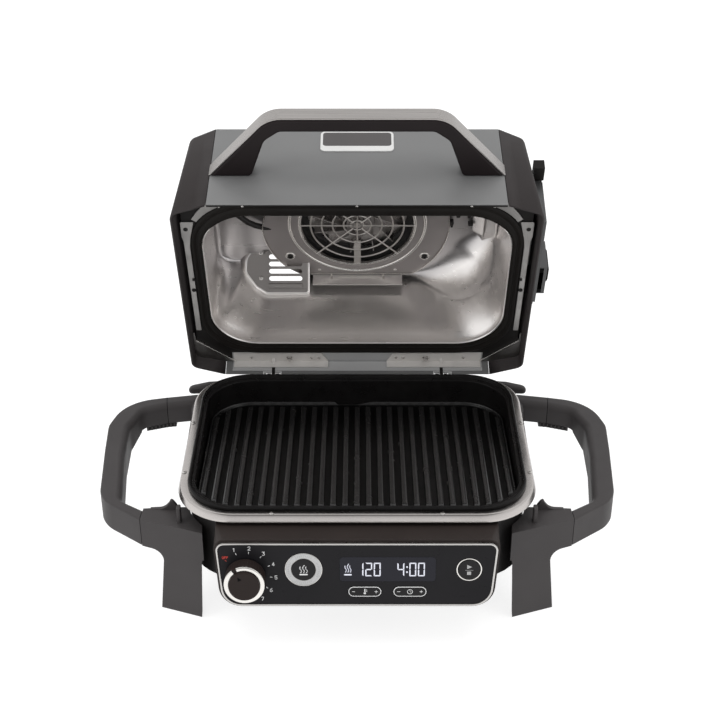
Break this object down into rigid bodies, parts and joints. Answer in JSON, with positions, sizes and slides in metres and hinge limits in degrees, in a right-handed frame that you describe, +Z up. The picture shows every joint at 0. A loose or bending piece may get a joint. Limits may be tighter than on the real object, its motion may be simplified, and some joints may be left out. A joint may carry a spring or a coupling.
{
  "type": "electric grill and smoker",
  "caption": "Countertop electric grill and smoker with a hinged domed lid, ribbed grill plate in a deep pot, lid fan, smoke box, side handles and a sloped control panel.",
  "frame": {"origin": "on the table under the middle of the object's outer box, lid open", "axes": "+Z up, -Y towards the control panel, +X towards the smoke box side"},
  "size_m": [0.6072, 0.5139, 0.5153],
  "materials": {
    "painted_grey": "satin powder coat",
    "grey_plastic": "satin painted",
    "cap_plastic": "fine moulded texture",
    "leg_plastic": "moulded texture",
    "shell_plastic": "black satin",
    "base_black": "black satin",
    "steel_ring": "polished stainless",
    "screw_steel": "plain",
    "enamel": "non-stick coating",
    "plate_coating": "non-stick coating",
    "rubber": "matte",
    "bracket_steel": "plain sheet",
    "gland_plastic": "matte",
    "board": "solder mask",
    "panel_plastic": "satin",
    "panel_gloss": "gloss",
    "panel_trim": "satin chrome",
    "lens": "tinted window",
    "encoder_metal": "plain",
    "knob_plastic": "satin",
    "key_plastic": "gloss",
    "tray_metal": "coated steel",
    "liner_steel": "satin pressed sheet",
    "seal_rubber": "matte silicone",
    "handle_plastic": "satin",
    "strap_steel": "brushed",
    "motor_metal": "plain",
    "impeller_steel": "plain",
    "element": "oxidised sheath",
    "igniter": "plain"
  },
  "bodies": {
    "base": {"base_shell": "shell_plastic", "bottom_plate": "base_black", "rim_ring": "steel_ring", "rim_screws": "screw_steel", "inner_pot": "enamel", "front_leg_left": "leg_plastic", "front_leg_right": "leg_plastic", "rear_leg_left": "leg_plastic", "rear_leg_right": "leg_plastic", "side_handle_left": "leg_plastic", "side_handle_right": "leg_plastic", "rubber_feet": "rubber", "cord_hooks": "leg_plastic", "hinge_ears": "bracket_steel", "tray_rails": "bracket_steel", "cord_gland": "gland_plastic", "power_board": "board", "panel_housing": "panel_plastic", "panel_fascia": "panel_gloss", "panel_frame": "panel_trim", "display_lens": "lens", "control_board": "board", "encoder": "encoder_metal", "button_rings": "panel_trim"},
    "grill_plate": {"grill_plate": "plate_coating"},
    "grease_tray": {"grease_tray": "tray_metal"},
    "knob": {"knob": "knob_plastic", "knob_ring": "panel_trim", "knob_shaft": "bracket_steel"},
    "flavour_button": {"flavour_button": "key_plastic"},
    "start_button": {"start_button": "key_plastic"},
    "temp_rocker": {"temp_rocker": "key_plastic"},
    "time_rocker": {"time_rocker": "key_plastic"},
    "lid": {"lid_skin": "painted_grey", "end_cap_left": "cap_plastic", "end_cap_right": "cap_plastic", "lid_frame": "base_black", "lid_liner": "liner_steel", "lid_seal": "seal_rubber", "liner_brackets": "bracket_steel", "lid_screws": "screw_steel", "lid_handle": "handle_plastic", "handle_strap": "strap_steel", "badge_plate": "strap_steel", "fan_plate": "liner_steel", "fan_guard": "liner_steel", "fan_shroud": "liner_steel", "fan_motor": "motor_metal", "heating_element": "element", "air_deflector": "liner_steel", "vent_louvre": "liner_steel", "exhaust_duct": "liner_steel", "hinge_brackets": "bracket_steel", "hinge_pins": "bracket_steel", "smoke_housing": "grey_plastic", "smoke_igniter": "igniter"},
    "fan": {"fan_impeller": "impeller_steel", "fan_shaft": "bracket_steel"},
    "smoke_box": {"smoke_box": "tray_metal"},
    "smoke_flap": {"smoke_flap": "handle_plastic"}
  },
  "joints": [
    {"name": "lid_hinge", "type": "hinge", "parent": "base", "child": "lid", "pos_m": [0, 0.1092, 0.1357], "axis": [-1, 0, 0], "range_deg": [-69, 0]},
    {"name": "fan_spin", "type": "hinge", "parent": "lid", "child": "fan", "pos_m": [0, 0.17824, 0.33059], "axis": [0, 0.9336, 0.3584], "continuous": true},
    {"name": "smoke_box_slide", "type": "slide", "parent": "lid", "child": "smoke_box", "axis": [1, 0, 0], "range_m": [0, 0.03]},
    {"name": "smoke_flap_hinge", "type": "hinge", "parent": "lid", "child": "smoke_flap", "pos_m": [0.2075, 0.13997, 0.36945], "axis": [0, -0.3584, 0.9336], "range_deg": [0, 95]},
    {"name": "grill_plate_lift", "type": "slide", "parent": "base", "child": "grill_plate", "axis": [0, 0, 1], "range_m": [0, 0.06]},
    {"name": "grease_tray_slide", "type": "slide", "parent": "base", "child": "grease_tray", "axis": [0, 1, 0], "range_m": [0, 0.115]},
    {"name": "knob_turn", "type": "hinge", "parent": "base", "child": "knob", "pos_m": [-0.119, -0.22985, 0.10313], "axis": [0, -0.9863, 0.165], "range_deg": [-172, 21]},
    {"name": "flavour_press", "type": "slide", "parent": "base", "child": "flavour_button", "axis": [0, 0.9863, -0.165], "range_m": [0, 0.0012], "stiffness_N_per_m": 600},
    {"name": "start_press", "type": "slide", "parent": "base", "child": "start_button", "axis": [0, 0.9863, -0.165], "range_m": [0, 0.0012], "stiffness_N_per_m": 600},
    {"name": "temp_rock", "type": "hinge", "parent": "base", "child": "temp_rocker", "pos_m": [0.0085, -0.23069, 0.08299], "axis": [0, 0.165, 0.9863], "range_deg": [-3, 3], "stiffness_Nm_per_rad": 0.3},
    {"name": "time_rock", "type": "hinge", "parent": "base", "child": "time_rocker", "pos_m": [0.057, -0.23069, 0.08299], "axis": [0, 0.165, 0.9863], "range_deg": [-3, 3], "stiffness_Nm_per_rad": 0.3}
  ]
}
